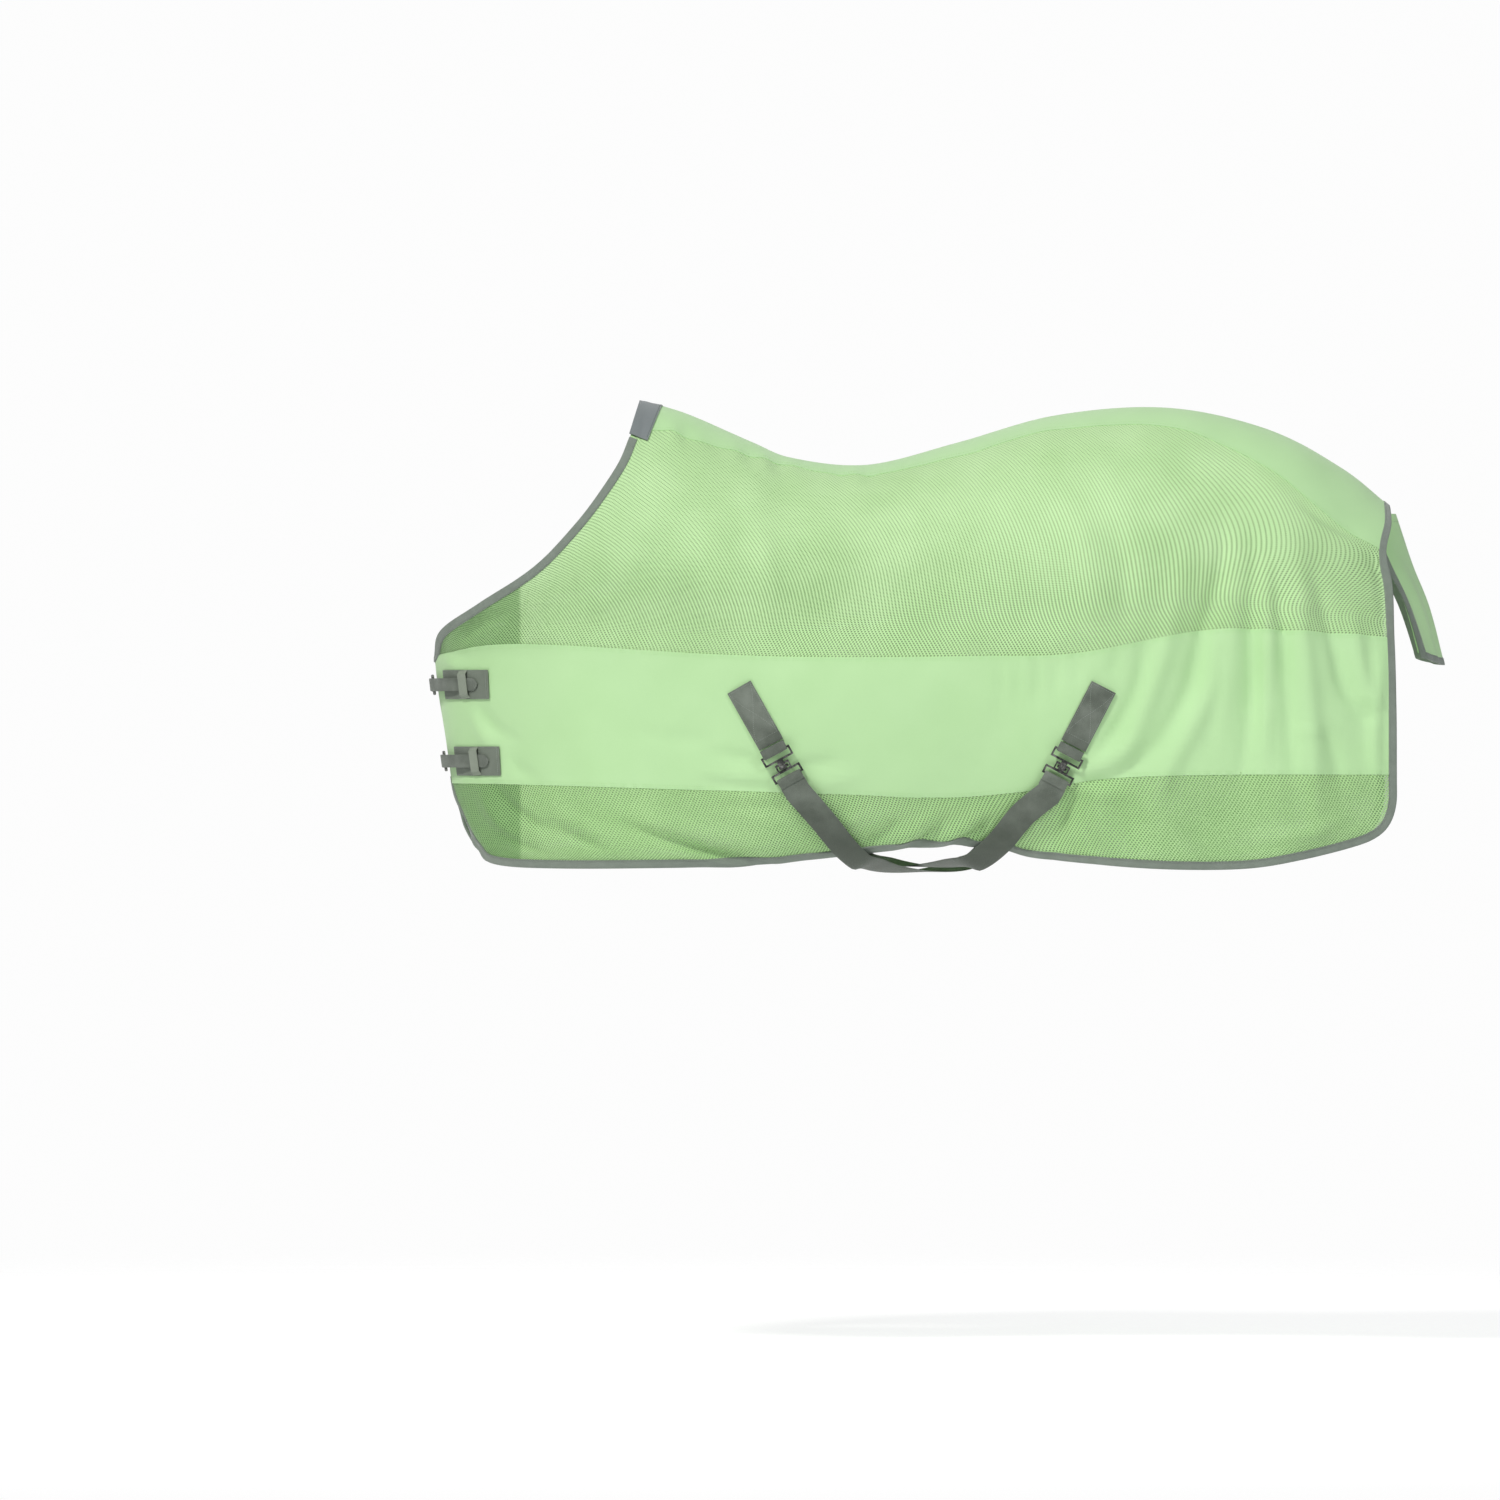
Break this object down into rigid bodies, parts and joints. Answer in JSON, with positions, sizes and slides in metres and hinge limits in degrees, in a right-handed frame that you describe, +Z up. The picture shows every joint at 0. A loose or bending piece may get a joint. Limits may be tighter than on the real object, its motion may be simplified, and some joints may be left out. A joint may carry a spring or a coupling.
{
  "type": "fly sheet",
  "caption": "Light green mesh fly sheet for a horse with solid flank band and topline, bound edges, tail flap, chest buckles and cross surcingles.",
  "frame": {"origin": "underside of the topline at the withers, in the middle plane", "axes": "+X towards the tail, -Y to the horse's left (near) side, +Z up"},
  "size_m": [1.7432, 0.6647, 0.8126],
  "materials": {
    "knit": "smooth close-knit polyester, light green, slight sheen",
    "mesh": "open warp-knit mesh with small staggered holes, light green",
    "lining": "open mesh, second layer inside the chest",
    "binding_tape": "folded grosgrain tape, grey-green",
    "withers_cloth": "smooth woven nylon, slate grey",
    "patch_cloth": "woven reinforcement patch, grey, sewn",
    "webbing": "woven polypropylene webbing, grey",
    "buckle_metal": "dull nickel-plated steel",
    "clip_metal": "gunmetal plating, worn on its edges"
  },
  "bodies": {
    "sheet": {"upper_mesh_near": "mesh", "solid_band_near": "knit", "lower_mesh_near": "mesh", "chest_lining_near": "lining", "neck_binding_near": "binding_tape", "hem_binding_near": "binding_tape", "rear_binding_near": "binding_tape", "upper_mesh_far": "mesh", "solid_band_far": "knit", "lower_mesh_far": "mesh", "chest_lining_far": "lining", "neck_binding_far": "binding_tape", "hem_binding_far": "binding_tape", "rear_binding_far": "binding_tape", "topline_panel": "knit", "withers_patch": "withers_cloth", "chest_patch_upper": "patch_cloth", "billet_patch_upper": "patch_cloth", "chest_chape_upper": "webbing", "keeper_upper": "webbing", "billet_upper": "webbing", "chest_patch_lower": "patch_cloth", "billet_patch_lower": "patch_cloth", "chest_chape_lower": "webbing", "keeper_lower": "webbing", "billet_lower": "webbing", "surcingle_tab_front": "webbing", "hook_fold_front": "webbing", "slot_plate_front": "clip_metal", "strap_fold_front": "webbing", "surcingle_strap_front": "webbing", "surcingle_patch_front": "patch_cloth", "surcingle_tab_rear": "webbing", "hook_fold_rear": "webbing", "slot_plate_rear": "clip_metal", "strap_fold_rear": "webbing", "surcingle_strap_rear": "webbing", "surcingle_patch_rear": "patch_cloth"},
    "tail_flap": {"tail_flap": "mesh", "tail_flap_hem_binding": "binding_tape", "tail_flap_side_binding_near": "binding_tape", "tail_flap_side_binding_far": "binding_tape"},
    "buckle_upper": {"buckle_frame_upper": "buckle_metal"},
    "prong_upper": {"buckle_prong_upper": "buckle_metal"},
    "roller_upper": {"buckle_roller_upper": "buckle_metal"},
    "buckle_lower": {"buckle_frame_lower": "buckle_metal"},
    "prong_lower": {"buckle_prong_lower": "buckle_metal"},
    "roller_lower": {"buckle_roller_lower": "buckle_metal"},
    "hook_front": {"t_hook_front": "clip_metal"},
    "hook_rear": {"t_hook_rear": "clip_metal"}
  },
  "joints": [
    {"name": "tail_flap_lift", "type": "hinge", "parent": "sheet", "child": "tail_flap", "pos_m": [1.297, 0, -0.192], "axis": [0, -1, 0], "range_deg": [0, 80]},
    {"name": "buckle_upper_tilt", "type": "hinge", "parent": "sheet", "child": "buckle_upper", "pos_m": [-0.35562, -0.02763, -0.486], "axis": [-0.1166, 0, 0.9932], "range_deg": [0, 12]},
    {"name": "prong_upper_lift", "type": "hinge", "parent": "buckle_upper", "child": "prong_upper", "pos_m": [-0.35562, -0.02763, -0.486], "axis": [-0.1166, 0, 0.9932], "range_deg": [0, 8]},
    {"name": "roller_upper_spin", "type": "hinge", "parent": "buckle_upper", "child": "roller_upper", "pos_m": [-0.35825, 0.00024, -0.486], "axis": [-0.1166, 0, 0.9932], "continuous": true},
    {"name": "buckle_lower_tilt", "type": "hinge", "parent": "sheet", "child": "buckle_lower", "pos_m": [-0.336, -0.02763, -0.617], "axis": [-0.134, 0, 0.991], "range_deg": [0, 12]},
    {"name": "prong_lower_lift", "type": "hinge", "parent": "buckle_lower", "child": "prong_lower", "pos_m": [-0.336, -0.02763, -0.617], "axis": [-0.134, 0, 0.991], "range_deg": [0, 8]},
    {"name": "roller_lower_spin", "type": "hinge", "parent": "buckle_lower", "child": "roller_lower", "pos_m": [-0.33863, 0.00024, -0.617], "axis": [-0.134, 0, 0.991], "continuous": true},
    {"name": "hook_front_swing", "type": "hinge", "parent": "sheet", "child": "hook_front", "pos_m": [0.22966, -0.28821, -0.60252], "axis": [-0.8676, 0.1664, -0.4686], "range_deg": [0, 120]},
    {"name": "hook_rear_swing", "type": "hinge", "parent": "sheet", "child": "hook_rear", "pos_m": [0.72838, -0.32206, -0.60477], "axis": [-0.8838, 0.0443, 0.4658], "range_deg": [0, 120]}
  ]
}
